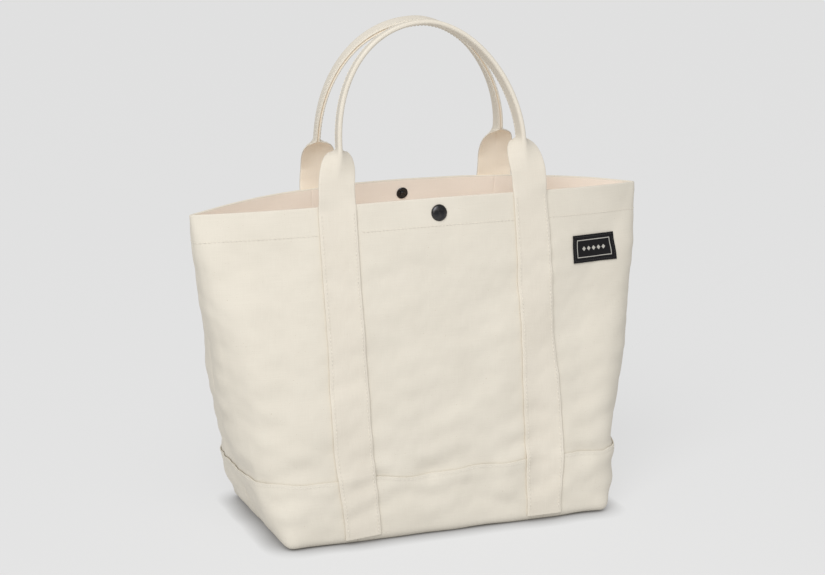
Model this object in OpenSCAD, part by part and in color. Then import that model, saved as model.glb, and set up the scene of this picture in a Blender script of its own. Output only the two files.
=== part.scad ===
// Canvas tote bag: a T-shaped bag body with a boxed base, a base band, two webbing handles,
// an inside hem, a press stud and a woven label. Origin at the middle of the base, +Z up,
// front wall on the -Y side.

/* [Bag body] */
// Length of the boxed base, left to right
base_length = 346; // [260:1:430]
// Depth of the boxed base, front to back
base_depth = 185; // [140:1:230]
// Width of the mouth between the two side seams
mouth_width = 486; // [390:1:600]
// Opening of the mouth at its middle, front to back
mouth_opening = 104; // [84:1:130]
// Height of the rim at the side seams
corner_height = 330; // [260:1:400]
// How much higher the rim stands at the middle of a wall
rim_rise = 10; // [0:1:20]
// How far the cloth of the front and back walls stands out at mid height
wall_bulge = 5; // [0:0.5:10]
// How far the cloth of the two ends stands out at mid height
end_bulge = 7; // [0:0.5:12]

/* [Canvas] */
// Thickness of one ply of canvas
canvas_thickness = 1.2; // [0.8:0.1:1.6]
// Clearance between two plies
ply_gap = 0.3; // [0.2:0.05:0.4]
// Height of the doubled base band
base_band_height = 68; // [45:1:95]
// Depth of the hem facing inside the rim
hem_depth = 30; // [18:1:45]

/* [Straps] */
// Width of the flat strap
strap_width = 38; // [30:1:46]
// Thickness of the strap
strap_thickness = 2.2; // [1.6:0.1:2.8]
// Distance between the centre lines of the two legs of a strap
strap_spacing = 204; // [160:1:250]
// Height of the handle above the rim, to the middle of the folded strap
handle_height = 179; // [140:1:220]
// Height above the rim at which the strap is fully folded
fold_height = 50; // [40:1:64]
// How far each leg moves towards the middle by the time it is folded
leg_taper = 3; // [0:0.5:6]

/* [Press stud] */
// Diameter of the domed cap on the front
cap_diameter = 17; // [12:0.5:20]
// Diameter of the socket and of the stud's flange
stud_diameter = 12.5; // [9:0.5:15]
// Diameter of the rivet that passes through the cloth
rivet_diameter = 4.6; // [3:0.1:6]
// Distance of the press stud below the rim
stud_drop = 14; // [11:0.5:20]

/* [Label] */
// Width of the woven label
label_width = 57; // [30:1:64]
// Height of the woven label
label_height = 28; // [18:1:40]
// Distance from the right side seam to the middle of the label
label_inset = 55; // [48:1:80]
// Distance of the label's middle below the rim
label_drop = 61; // [48:1:80]

/* [Hidden] */
$fn = 48;

canvas_colour = [0.87, 0.84, 0.78];
strap_colour = [0.89, 0.86, 0.80];
thread_colour = [0.93, 0.91, 0.86];
gunmetal = [0.16, 0.16, 0.17];
label_colour = [0.07, 0.07, 0.08];

lens_power = 2.6;       // shape of the mouth seen from above: 2 is a parabola, more is squarer
seam_half = 1.5;        // half the width of the side seam's ridge at the rim
split_gap = 0.4;        // between a moving wall and the fixed cloth beside it
bottom_inset = 1.5;     // of the bottom plies, clear of the walls all round
bottom_corner = 6;      // corner radius of the bottom plies
binding_width = 9;      // how far a bound seam stands into the bag
binding_thickness = 2;
thread_width = 0.8;
thread_proud = 0.5;
thread_gap = 0.1;       // thread to cloth
stitch_inset = 3;       // stitch line to the edge of the piece that it holds
bend_start = 2;         // strap bend above the rim, so that it can turn there
bend_height = 9;
bend_gap = 1.5;         // strap bend to handle
swing_offset = 7;       // the handle swings about a line this far outside its strap
fold_slit = 0.6;        // between the two halves of the folded strap
spine_flat = 0.3;       // half width of the spine where the strap is flat
slit_flat = 0.15;       // half width of the groove inside it there
fold_run = 20;          // length over which the strap folds
handle_gap = 0.6;       // from a folded edge to the middle of the bag
arch_power = 2.15;      // a little squarer than an ellipse
leg_steps = 12;
arch_steps = 26;
cap_edge = 0.8;
cap_dome = 2.8;
post_dome = 1.6;
socket_height = 3;
socket_play = 1.6;
flange_height = 1;
stud_height = 4;
stud_wall = 1;
label_thickness = 0.7;
rows = 9;               // rows of facets up a wall
wall_columns = 12;
corner_columns = 7;
end_columns = 2;

ply_pitch = canvas_thickness + ply_gap;
strap_x = strap_spacing / 2;
wall_half = strap_x + strap_width / 2;
centre_height = corner_height + rim_rise;

// Shape of the body. s runs from 0 at the base to 1 at the rim.
function half_width(s) =
    base_length / 2 + (mouth_width - base_length) / 2 * s + end_bulge * 4 * s * (1 - s);
function fold_depth(s) = base_depth / 2 * (1 - s) + seam_half * s;
function centre_depth(s) =
    base_depth / 2 + (mouth_opening - base_depth) / 2 * s + wall_bulge * 4 * s * (1 - s);
function share(x, s) = min(1, abs(x) / half_width(s));
function wall_depth(x, s) =
    fold_depth(s) + (centre_depth(s) - fold_depth(s)) * (1 - pow(share(x, s), lens_power));
function wall_height(x, s) = s * (corner_height + rim_rise * (1 - pow(share(x, s), 2)));
function smooth(t) = let (c = max(0, min(1, t))) c * c * (3 - 2 * c);

// A point of the front wall, lifted off its inner face by off.
function front_point(x, s, off) = [x, -wall_depth(x, s) - off, wall_height(x, s)];

// A closed cloth between two grids of points, the inner and the outer face.
module cloth(inner, outer) {
    n = len(inner);
    m = len(inner[0]);
    top = n * m;
    points = concat([for (line = inner) each line], [for (line = outer) each line]);
    faces = concat(
        [for (i = [0 : n - 2], j = [0 : m - 2]) [i * m + j, i * m + j + 1, (i + 1) * m + j + 1]],
        [for (i = [0 : n - 2], j = [0 : m - 2]) [i * m + j, (i + 1) * m + j + 1, (i + 1) * m + j]],
        [for (i = [0 : n - 2], j = [0 : m - 2])
            [top + i * m + j, top + (i + 1) * m + j + 1, top + i * m + j + 1]],
        [for (i = [0 : n - 2], j = [0 : m - 2])
            [top + i * m + j, top + (i + 1) * m + j, top + (i + 1) * m + j + 1]],
        [for (j = [0 : m - 2]) each [
            [j, top + j, top + j + 1], [j, top + j + 1, j + 1],
            [(n - 1) * m + j, (n - 1) * m + j + 1, top + (n - 1) * m + j + 1],
            [(n - 1) * m + j, top + (n - 1) * m + j + 1, top + (n - 1) * m + j]]],
        [for (i = [0 : n - 2]) each [
            [i * m, (i + 1) * m, top + (i + 1) * m], [i * m, top + (i + 1) * m, top + i * m],
            [i * m + m - 1, top + i * m + m - 1, top + (i + 1) * m + m - 1],
            [i * m + m - 1, top + (i + 1) * m + m - 1, (i + 1) * m + m - 1]]]
    );
    polyhedron(points, faces, convexity = 6);
}

// Cloth on the front wall from x0 to x1 and from level s0 to s1, off0 to off1 outside it.
module wall_cloth(x0, x1, s0, s1, off0, off1, steps_x, steps_z) {
    function grid(off) = [for (i = [0 : steps_z]) [for (j = [0 : steps_x])
        front_point(x0 + (x1 - x0) * j / steps_x, s0 + (s1 - s0) * i / steps_z, off)]];
    cloth(grid(off0), grid(off1));
}

// Cloth of the right front quarter: from the wall's edge round the fold to the side seam.
module corner_cloth(s0, s1, off0, off1, steps_z) {
    x0 = wall_half + split_gap;
    function front_run(s, off) = [for (j = [0 : corner_columns - 1])
        front_point(x0 + (half_width(s) - x0) * j / corner_columns, s, off)];
    function end_run(s, off) = [for (k = [0 : end_columns])
        [half_width(s) + off,
         -fold_depth(s) + (fold_depth(s) - ply_gap / 2) * k / end_columns - (k == 0 ? off : 0),
         wall_height(half_width(s), s)]];
    function grid(off) = [for (i = [0 : steps_z]) let (s = s0 + (s1 - s0) * i / steps_z)
        concat(front_run(s, off), end_run(s, off))];
    cloth(grid(off0), grid(off1));
}

module left() mirror([1, 0, 0]) children();
module back() mirror([0, 1, 0]) children();

// Base

module bottom_ply(z, inset) {
    length = base_length - 2 * inset;
    depth = base_depth - 2 * inset;
    translate([0, 0, z]) linear_extrude(canvas_thickness) {
        square([length - 2 * bottom_corner, depth], center = true);
        square([length, depth - 2 * bottom_corner], center = true);
        for (x = [-1, 1], y = [-1, 1])
            translate([x * (length / 2 - bottom_corner), y * (depth / 2 - bottom_corner)])
                circle(bottom_corner);
    }
}

module outer_bottom() { color(canvas_colour) bottom_ply(0, bottom_inset); }
module inner_bottom() { color(canvas_colour) bottom_ply(ply_pitch, bottom_inset); }

// Body panels

rivet_clearance = 0.3;
stud_level = 1 - stud_drop / centre_height;
stud_seat = front_point(0, stud_level, 0);
stud_lean = atan2(wall_depth(0, stud_level - 0.02) - wall_depth(0, stud_level + 0.02),
                  wall_height(0, stud_level + 0.02) - wall_height(0, stud_level - 0.02));

// Places its children on the press stud's axis, +Z pointing out of the front wall.
module at_stud() translate(stud_seat) rotate([90 - stud_lean, 0, 0]) children();

module rivet_hole() {
    at_stud() cylinder(d = rivet_diameter + 2 * rivet_clearance, h = 20, center = true);
}

module panel() {
    color(canvas_colour) difference() {
        wall_cloth(-wall_half, wall_half, 0, 1, 0, canvas_thickness, wall_columns, rows);
        rivet_hole();
    }
}

module side() { color(canvas_colour) corner_cloth(0, 1, 0, canvas_thickness, rows); }

module front_panel() { panel(); }
module back_panel() { back() panel(); }
module right_front_side() { side(); }
module left_front_side() { left() side(); }
module right_back_side() { back() side(); }
module left_back_side() { back() left() side(); }

// Base band: a second ply outside the foot of every wall

band_level = base_band_height / centre_height;
band_out = ply_pitch + canvas_thickness;

module wall_band() {
    color(canvas_colour)
        wall_cloth(-wall_half, wall_half, 0, band_level, ply_pitch, band_out, wall_columns, 3);
}

module corner_band() { color(canvas_colour) corner_cloth(0, band_level, ply_pitch, band_out, 3); }

module front_base_band() { wall_band(); }
module back_base_band() { back() wall_band(); }
module right_front_base_band() { corner_band(); }
module left_front_base_band() { left() corner_band(); }
module right_back_base_band() { back() corner_band(); }
module left_back_base_band() { back() left() corner_band(); }

// Hem facing inside the rim

hem_level = 1 - hem_depth / centre_height;
hem_end = binding_width + 4;    // the facing stops short of the bound side seam

module wall_hem() {
    color(canvas_colour) difference() {
        wall_cloth(-wall_half, wall_half, hem_level, 1, -ply_pitch, -ply_gap, wall_columns, 2);
        rivet_hole();
    }
}

module corner_hem() {
    color(canvas_colour)
        wall_cloth(wall_half + split_gap, half_width(1) - hem_end, hem_level, 1,
                   -ply_pitch, -ply_gap, corner_columns, 2);
}

module front_hem() { wall_hem(); }
module back_hem() { back() wall_hem(); }
module right_front_hem() { corner_hem(); }
module left_front_hem() { left() corner_hem(); }
module right_back_hem() { back() corner_hem(); }
module left_back_hem() { back() left() corner_hem(); }

// Bound seam allowances inside: up each side seam, and along each end of the base

binding_foot = 2 * ply_pitch + binding_thickness + 3 * ply_gap;

module side_binding() {
    function column(off) = [for (i = [0 : rows])
        let (s = binding_foot / corner_height + (0.99 - binding_foot / corner_height) * i / rows)
        [half_width(s) - off, s * corner_height]];
    outline = concat(column(ply_gap + binding_width),
                     [for (i = [rows : -1 : 0]) column(ply_gap)[i]]);
    color(canvas_colour) rotate([90, 0, 0])
        linear_extrude(binding_thickness, center = true) polygon(outline);
}

module end_binding() {
    length = base_depth - 4 * bottom_corner;
    color(canvas_colour)
        translate([base_length / 2 - bottom_inset - binding_width, -length / 2,
                   2 * ply_pitch])
            cube([binding_width, length, binding_thickness]);
}

module right_side_binding() { side_binding(); }
module left_side_binding() { left() side_binding(); }
module right_end_binding() { end_binding(); }
module left_end_binding() { left() end_binding(); }

// Straps sewn up the walls. They climb over the top edge of the base band.

climb = 8;    // height over which the strap steps off the base band

function strap_off(s) =
    ply_pitch + ply_pitch * (1 - smooth((wall_height(0, s) - base_band_height) / climb));

// Levels at which a strap has a row of facets
strap_levels = concat(
    [0, band_level * 0.5, band_level],
    [for (i = [1 : 3]) (base_band_height + climb * i / 3) / centre_height],
    [for (i = [1 : rows - 2]) let (s = (base_band_height + climb) / centre_height)
        s + (1 - s) * i / (rows - 2)]);

// Cloth that follows the strap's face: from x0 to x1, lift0 to lift1 above its back
module on_strap(x0, x1, lift0, lift1, steps_x, last) {
    function grid(lift) = [for (s = strap_levels) let (t = min(s, last))
        [for (j = [0 : steps_x])
            front_point(x0 + (x1 - x0) * j / steps_x, t, strap_off(t) + lift)]];
    cloth(grid(lift0), grid(lift1));
}

module sewn_strap() {
    color(strap_colour)
        on_strap(strap_x - strap_width / 2, strap_x + strap_width / 2, 0, strap_thickness, 3, 1);
}

module front_right_strap() { sewn_strap(); }
module front_left_strap() { left() sewn_strap(); }
module back_right_strap() { back() sewn_strap(); }
module back_left_strap() { back() left() sewn_strap(); }

// Handles. Their frame starts on the rim at the strap's outer face, +Z up the lean. The strap's
// two halves fold about its middle line towards the inside, so the folded strap is half as wide.

half_strap = strap_width / 2 - spine_flat;
folded_half = strap_thickness + fold_slit / 2;
handle_seat = front_point(strap_x, 1, ply_pitch + strap_thickness);

// The handles lean until their folded edges all but meet over the middle of the bag.
handle_reach = norm([half_strap, handle_height + folded_half]);
handle_lean = asin((-handle_seat[1] - handle_gap) / handle_reach)
    - atan2(half_strap, handle_height + folded_half);

module on_rim() {
    translate([0, handle_seat[1], handle_seat[2]]) rotate([-handle_lean, 0, 0]) children();
}

module strap_bend() {
    color(strap_colour) on_rim()
        translate([strap_x - strap_width / 2, 0, bend_start])
            cube([strap_width, strap_thickness, bend_height]);
}

module front_right_strap_bend() { strap_bend(); }
module front_left_strap_bend() { left() strap_bend(); }
module back_right_strap_bend() { back() strap_bend(); }
module back_left_strap_bend() { back() left() strap_bend(); }

handle_start = bend_start + bend_height + bend_gap;
fold_start = fold_height - fold_run;
arch_half = strap_x - leg_taper;
arch_rise = handle_height - fold_height;

// Middle line of a handle, [x, height above the rim], from the right leg over to the left
function leg_point(h) =
    [strap_x - leg_taper * smooth((h - handle_start) / (fold_height - handle_start)), h];
function arch_part(v) = sign(v) * pow(abs(v), 2 / arch_power);
function arch_point(a) =
    [arch_half * arch_part(cos(a)), fold_height + arch_rise * arch_part(sin(a))];
leg = [for (i = [0 : leg_steps - 1])
    leg_point(handle_start + (fold_height - handle_start) * i / leg_steps)];
handle_line = concat(
    leg,
    [for (i = [0 : arch_steps]) arch_point(180 * i / arch_steps)],
    [for (i = [leg_steps - 1 : -1 : 0]) [-leg[i][0], leg[i][1]]]);

// The strap's section with each half folded f degrees out of the flat: [across the strap,
// inwards from its outer face]
function half_section(f) = let (
        spine = spine_flat + (folded_half - spine_flat) * sin(f),
        slit = slit_flat + (fold_slit / 2 - slit_flat) * sin(f),
        edge = [spine + half_strap * cos(f), half_strap * sin(f)])
    [[spine, 0], edge, edge + strap_thickness * [-sin(f), cos(f)], [slit, strap_thickness]];
function strap_section(f) = let (half = half_section(f))
    concat(half, [for (i = [3 : -1 : 0]) [-half[i][0], half[i][1]]]);
function fold_angle(h) = 90 * smooth((h - fold_start) / fold_run);

// Outward normal of the middle line at point i
function line_normal(i) = let (
        a = handle_line[max(i - 1, 0)],
        b = handle_line[min(i + 1, len(handle_line) - 1)],
        d = (b - a) / norm(b - a))
    [d[1], -d[0]];

module handle() {
    count = len(handle_line);
    rings = [for (i = [0 : count - 1]) let (p = handle_line[i], n = line_normal(i))
        [for (q = strap_section(fold_angle(p[1]))) [p[0] + n[0] * q[0], q[1], p[1] + n[1] * q[0]]]];
    sides = len(rings[0]);
    faces = concat(
        [[for (k = [0 : sides - 1]) k]],
        [[for (k = [sides - 1 : -1 : 0]) (count - 1) * sides + k]],
        [for (i = [0 : count - 2], k = [0 : sides - 1]) let (m = (k + 1) % sides) each [
            [i * sides + k, (i + 1) * sides + k, (i + 1) * sides + m],
            [i * sides + k, (i + 1) * sides + m, i * sides + m]]]);
    color(strap_colour) on_rim()
        polyhedron([for (ring = rings) each ring], faces, convexity = 8);
}

module front_handle() { handle(); }
module back_handle() { back() handle(); }

// Press stud: cap and socket on the front wall, post and stud on the back wall

fitting_in = -(ply_pitch + ply_gap);               // inner face of the hem, where fittings seat
fitting_out = canvas_thickness + ply_gap;          // outer face of the panel
rivet_in = fitting_in - socket_height / 2;
rivet_fit = 0.05;

// A shallow dome of radius r and height h standing on z = 0
module dome(r, h) {
    ball = (r * r + h * h) / (2 * h);
    intersection() {
        translate([0, 0, h - ball]) sphere(ball);
        cylinder(r = r + 1, h = h + 1);
    }
}

module outer_cap(diameter, height) {
    color(gunmetal) at_stud() {
        translate([0, 0, fitting_out + cap_edge]) dome(diameter / 2, height);
        translate([0, 0, fitting_out]) cylinder(d = diameter, h = cap_edge);
        translate([0, 0, rivet_in]) cylinder(d = rivet_diameter, h = fitting_out - rivet_in);
    }
}

module snap_cap() { outer_cap(cap_diameter, cap_dome); }
module snap_post() { back() outer_cap(stud_diameter, post_dome); }

module snap_socket() {
    color(gunmetal) at_stud() translate([0, 0, fitting_in - socket_height]) difference() {
        cylinder(d = stud_diameter, h = socket_height);
        translate([0, 0, -1])
            cylinder(d = rivet_diameter + socket_play, h = socket_height / 2 + 1);
        cylinder(d = rivet_diameter + 2 * rivet_fit, h = 2 * socket_height);
    }
}

module snap_stud() {
    color(gunmetal) back() at_stud() difference() {
        union() {
            translate([0, 0, fitting_in - flange_height])
                cylinder(d = stud_diameter, h = flange_height);
            translate([0, 0, fitting_in - stud_height])
                cylinder(d = rivet_diameter + stud_wall, h = stud_height);
        }
        translate([0, 0, rivet_in - rivet_fit])
            cylinder(d = rivet_diameter + 2 * rivet_fit, h = stud_height + socket_height);
    }
}

// Woven label on the right of the front

label_level = 1 - label_drop / corner_height;
label_mid = half_width(label_level) - label_inset;
label_rise = label_height / 2 / corner_height;
label_off = canvas_thickness + ply_gap;

module label() {
    color(label_colour)
        wall_cloth(label_mid - label_width / 2, label_mid + label_width / 2,
                   label_level - label_rise, label_level + label_rise,
                   label_off, label_off + label_thickness, 4, 2);
}

// Stitching: each seam is one raised line of thread

module seam(x0, x1, s, off, steps) {
    rise = thread_width / 2 / centre_height;
    color(thread_colour)
        wall_cloth(x0, x1, s - rise, s + rise, off + thread_gap, off + thread_proud, steps, 1);
}

module corner_seam(s, off) {
    rise = thread_width / 2 / centre_height;
    color(thread_colour) corner_cloth(s - rise, s + rise, off + thread_gap, off + thread_proud, 1);
}

module upright_seam(x, s0, s1, off) {
    color(thread_colour)
        wall_cloth(x - thread_width / 2, x + thread_width / 2, s0, s1,
                   off + thread_gap, off + thread_proud, 1, 3);
}

label_stitch_inset = 2;

module label_stitching() {
    top = label_off + label_thickness;
    across = label_width / 2 - label_stitch_inset;
    up = (label_height / 2 - label_stitch_inset) / corner_height;
    for (side = [-1, 1]) {
        seam(label_mid - across, label_mid + across, label_level + side * up, top, 4);
        upright_seam(label_mid + side * across, label_level - up * 0.9, label_level + up * 0.9,
                     top);
    }
}

module strap_stitching() {
    color(thread_colour) for (leg = [-1, 1], side = [-1, 1])
        let (x = leg * strap_x + side * (strap_width / 2 - stitch_inset))
            on_strap(x - thread_width / 2, x + thread_width / 2,
                     strap_thickness + thread_gap, strap_thickness + thread_proud, 1,
                     1 - stitch_inset / centre_height);
}

between_straps = strap_x - strap_width / 2 - 1;
hem_stitch_level = hem_level + stitch_inset / centre_height;
band_stitch_level = band_level - stitch_inset / centre_height;

module hem_stitching() {
    seam(-between_straps, between_straps, hem_stitch_level, canvas_thickness, wall_columns);
}
module band_stitching() {
    seam(-between_straps, between_straps, band_stitch_level, band_out, wall_columns);
}

module front_strap_stitching() { strap_stitching(); }
module back_strap_stitching() { back() strap_stitching(); }
module front_hem_stitching() { hem_stitching(); }
module back_hem_stitching() { back() hem_stitching(); }
module front_band_stitching() { band_stitching(); }
module back_band_stitching() { back() band_stitching(); }

// The same two seams round the fixed quarters at the right end
module end_stitching() {
    corner_seam(hem_stitch_level, canvas_thickness);
    back() corner_seam(hem_stitch_level, canvas_thickness);
    corner_seam(band_stitch_level, band_out);
    back() corner_seam(band_stitch_level, band_out);
}

module right_end_stitching() { end_stitching(); }
module left_end_stitching() { left() end_stitching(); }

outer_bottom();
inner_bottom();
front_panel();
back_panel();
left_front_side();
left_back_side();
right_front_side();
right_back_side();
front_base_band();
back_base_band();
left_front_base_band();
left_back_base_band();
right_front_base_band();
right_back_base_band();
front_hem();
back_hem();
left_front_hem();
left_back_hem();
right_front_hem();
right_back_hem();
left_side_binding();
right_side_binding();
left_end_binding();
right_end_binding();
front_left_strap();
front_right_strap();
back_left_strap();
back_right_strap();
front_left_strap_bend();
front_right_strap_bend();
back_left_strap_bend();
back_right_strap_bend();
front_handle();
back_handle();
snap_cap();
snap_socket();
snap_stud();
snap_post();
label();
label_stitching();
front_strap_stitching();
back_strap_stitching();
front_hem_stitching();
back_hem_stitching();
front_band_stitching();
back_band_stitching();
left_end_stitching();
right_end_stitching();
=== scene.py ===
import math

import bpy
import numpy as np
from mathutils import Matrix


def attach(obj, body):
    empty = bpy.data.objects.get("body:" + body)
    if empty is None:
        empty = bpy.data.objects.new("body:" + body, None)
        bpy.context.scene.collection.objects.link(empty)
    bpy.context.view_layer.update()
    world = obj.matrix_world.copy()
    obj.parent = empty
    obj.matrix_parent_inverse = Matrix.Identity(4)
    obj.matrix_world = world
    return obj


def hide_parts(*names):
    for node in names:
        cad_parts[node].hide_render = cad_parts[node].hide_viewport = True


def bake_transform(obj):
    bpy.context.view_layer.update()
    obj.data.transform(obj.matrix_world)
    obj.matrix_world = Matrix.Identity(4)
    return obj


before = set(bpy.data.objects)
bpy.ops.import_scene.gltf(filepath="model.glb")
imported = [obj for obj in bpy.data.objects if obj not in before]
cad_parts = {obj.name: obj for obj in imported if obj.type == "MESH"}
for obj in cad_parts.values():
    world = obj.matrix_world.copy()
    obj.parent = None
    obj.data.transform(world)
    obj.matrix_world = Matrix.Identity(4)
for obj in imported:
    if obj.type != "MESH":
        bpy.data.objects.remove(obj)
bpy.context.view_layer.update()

# Studio. A pale floor that runs out of view on every side, a soft key light from the upper left
# front, a smaller lamp above the front and an even white surround. The camera stands to the
# left and above. The floor's glow is darkened where the bag nearly touches it: a painted contact
# shadow.

camera = bpy.data.objects.new("camera", bpy.data.cameras.new("camera"))
camera.data.sensor_width = 36
camera.data.lens = 102.3
camera.data.clip_end = 200
camera.location = (-0.8337, -2.2077, 0.8246)
camera.rotation_euler = (math.radians(90 - 14.01), 0, math.radians(-20.51))
bpy.context.collection.objects.link(camera)
bpy.context.scene.camera = camera
bpy.context.scene.view_settings.view_transform = "Standard"

surround = bpy.data.worlds.new("surround")
surround.use_nodes = True
surround.node_tree.nodes["Background"].inputs["Color"].default_value = (1, 1, 1, 1)
surround.node_tree.nodes["Background"].inputs["Strength"].default_value = 0.42
bpy.context.scene.world = surround

for light, kind, power, tilt, turn, place in (
        ("key_light", "SUN", 1.30, 48, -36, (0, -2, 2)),
        ("top_light", "AREA", 7.5, 40, -20, (-0.352, -0.967, 1.476))):
    lamp = bpy.data.objects.new(light, bpy.data.lights.new(light, kind))
    lamp.data.energy = power
    lamp.location = place
    lamp.rotation_euler = (math.radians(tilt), 0, math.radians(turn))
    bpy.context.collection.objects.link(lamp)
bpy.data.lights["key_light"].angle = math.radians(40)
bpy.data.lights["top_light"].size = 1.1

floor_reach = 40
floor_mesh = bpy.data.meshes.new("floor")
floor_mesh.from_pydata(
    [(x * floor_reach, y * floor_reach, 0) for x, y in ((-1, -1), (1, -1), (1, 1), (-1, 1))],
    [], [(0, 1, 2, 3)])
floor = bpy.data.objects.new("floor", floor_mesh)
bpy.context.collection.objects.link(floor)
floor_paint = bpy.data.materials.new("pale_floor")
floor_paint.use_nodes = True
paint = floor_paint.node_tree.nodes["Principled BSDF"]
paint.inputs["Base Color"].default_value = (0.18, 0.18, 0.18, 1)
paint.inputs["Roughness"].default_value = 1
paint.inputs["Specular IOR Level"].default_value = 0
paint.inputs["Emission Strength"].default_value = 0.62
# Painted contact shadow: ambient occlusion turns the floor's emission towards near black close to the
# bag.
floor_occlusion = floor_paint.node_tree.nodes.new("ShaderNodeAmbientOcclusion")
floor_occlusion.inputs["Distance"].default_value = 0.022
painted_contact_shadow = floor_paint.node_tree.nodes.new("ShaderNodeMix")
painted_contact_shadow.data_type = "RGBA"
painted_contact_shadow.inputs[6].default_value = (0.05, 0.04, 0.03, 1)
painted_contact_shadow.inputs[7].default_value = (1, 1, 1, 1)
floor_paint.node_tree.links.new(floor_occlusion.outputs["AO"], painted_contact_shadow.inputs[0])
floor_paint.node_tree.links.new(painted_contact_shadow.outputs[2], paint.inputs["Emission Color"])
floor_mesh.materials.append(floor_paint)

# Front and back panels. Heavy natural duck, 1.2 mm thick. Each panel is one flat cut that
# stands by its own stiffness, gives softly between its seams, and is turned over at the rim
# into a 30 mm hem. It is cut on the line of the straps, where the straps hide the join.

MM = 0.001
canvas_thick = 1.2 * MM
ply = 1.5 * MM                  # one ply and the air beside it
centre_height = 340 * MM
corner_height = 330 * MM
strap_x = 102 * MM
hem_depth = 30 * MM
base_half = (173 * MM, 92.5 * MM)
mouth_half = (243 * MM, 1.5 * MM)
rim_middle = 52 * MM            # from the middle of the bag to the rim, at its centre
end_bulge = 28 * MM
wall_bulge = 20 * MM
lens_power = 2.6
corner_full = 0.2               # the rounded corners stand this much of their size further out
foot_round = 6 * MM             # how tightly the cloth turns under the base
floor_lift = 3.6 * MM
turn_under = 8 * MM
front, back = -1, 1


def smooth(t):
    t = np.clip(t, 0, 1)
    return t * t * (3 - 2 * t)


def soft_max(t, r):
    """The larger of t and 0, with the corner rounded over r either side."""
    return np.where(t > r, t, np.where(t < -r, 0, (t + r) ** 2 / (4 * r)))


def half_width(s):
    return base_half[0] + (mouth_half[0] - base_half[0]) * s + end_bulge * s * (1 - s)


def fold_depth(s):
    return base_half[1] + (mouth_half[1] - base_half[1]) * s


def bare_surface(u, v, face):
    """Inner face of the bag, without creases. u runs round from the middle of the wall to the
    side seam, v runs up from the base edge, and below 0 it runs in under the base."""
    s = soft_max(v, foot_round) / centre_height
    tuck = soft_max(-v, foot_round)
    hw, fd = half_width(s), fold_depth(s)
    fold = np.minimum(8 * MM + 290 * MM * s * (1 - s) ** 2, 0.9 * fd).clip(1 * MM)
    a = np.abs(u)
    fuller = corner_full * fold * smooth((a - hw) / (3 * fold) + 1)
    x = hw + fuller - soft_max(hw - a, fold)
    end = np.clip((a - hw + fold) / (2 * fold), 0, 1) * math.pi / 2
    centre = base_half[1] + (rim_middle - base_half[1]) * s + wall_bulge * s * (1 - s)
    across = np.minimum(x / hw, 1)
    y = fd + (centre - fd) * (1 - across ** lens_power) - soft_max(a - hw, fold)
    y = y * (1 + fuller / fd)
    z = s * (corner_height + (centre_height - corner_height) * (1 - across ** 2))
    z = z + floor_lift * (1 - s)
    return np.stack([np.sign(u) * (x - tuck * np.sin(end)), face * (y - tuck * np.cos(end)), z], -1)


def ripple(p, size, seed):
    """Gentle irregular waves of about that size, the same at the same place on every run."""
    draw = np.random.default_rng(seed)
    total = 0
    for _ in range(9):
        heading = draw.normal(size=3)
        wave = size * draw.uniform(0.7, 1.5)
        turn = 2 * math.pi / wave / np.linalg.norm(heading)
        total = total + np.sin(p @ heading * turn + draw.uniform(0, 2 * math.pi))
    return total / 3


def band_top(x, y):
    """Height of the base band's top edge: it wanders, dips at the middle of the walls, and
    climbs a little towards the right front corner."""
    climb = smooth((x - 165 * MM) / (30 * MM)) * smooth(-y / (60 * MM))
    dip = np.exp(-((x - 10 * MM) / (75 * MM)) ** 2)
    return 66 * MM + 9 * MM * climb - 5 * MM * dip \
        + 1.7 * MM * ripple(np.stack([x, y, 0 * x], -1), 45 * MM, 21)


def base_edge(u, face):
    """The place on the base's outline that is u round from the middle of the wall."""
    past = np.clip(np.abs(u) - base_half[0], 0, base_half[1])
    return np.clip(u, -base_half[0], base_half[0]), face * (base_half[1] - past)


def give(p):
    """How far the cloth stands off its bare surface: broad sag, upright folds, fine creases,
    and puckers where the base band and the straps are stitched down."""
    x, z = p[..., 0], p[..., 2]
    firm = (1 - 0.65 * smooth((z - 270 * MM) / (60 * MM))) * (0.15 + 0.85 * smooth(z / (35 * MM)))
    broad = 2.2 * MM * ripple(p, 190 * MM, 3) + 1.3 * MM * ripple(p, 85 * MM, 4)
    upright = 1.0 * MM * ripple(p * (1, 1, 0.3), 60 * MM, 5)
    slack = smooth((230 * MM - z) / (190 * MM))
    creases = 0.75 * MM * ripple(p * (0.8, 0.8, 1.3), 34 * MM, 8) * (0.4 + slack)
    fine = 0.22 * MM * ripple(p, 15 * MM, 9)
    seam = z - band_top(x, p[..., 1])
    puckers = 0.9 * MM * ripple(p * (1, 1, 0.35), 24 * MM, 11) * np.exp(-(seam / (13 * MM)) ** 2)
    strap_edge = np.abs(np.abs(x) - strap_x) - 19 * MM
    gather = 0.35 * MM * ripple(p * (0.5, 0.5, 1), 26 * MM, 13)
    gather = gather * np.exp(-(strap_edge / (9 * MM)) ** 2)
    side_seam = -0.5 * MM * np.exp(-(p[..., 1] / (2 * MM)) ** 2)
    return firm * (broad + upright + creases + fine + puckers + gather) + side_seam


def skin(u, v, off, face):
    """A point off outside the bag's inner face, once the cloth has settled."""
    u, v, off = np.broadcast_arrays(u, v, off)
    p = bare_surface(u, v, face)
    step = 0.1 * MM
    normal = np.cross(bare_surface(u + step, v, face) - p, bare_surface(u, v + step, face) - p)
    normal *= -face / np.linalg.norm(normal, axis=-1, keepdims=True)
    return p + normal * (off + give(p))[..., None]


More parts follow.
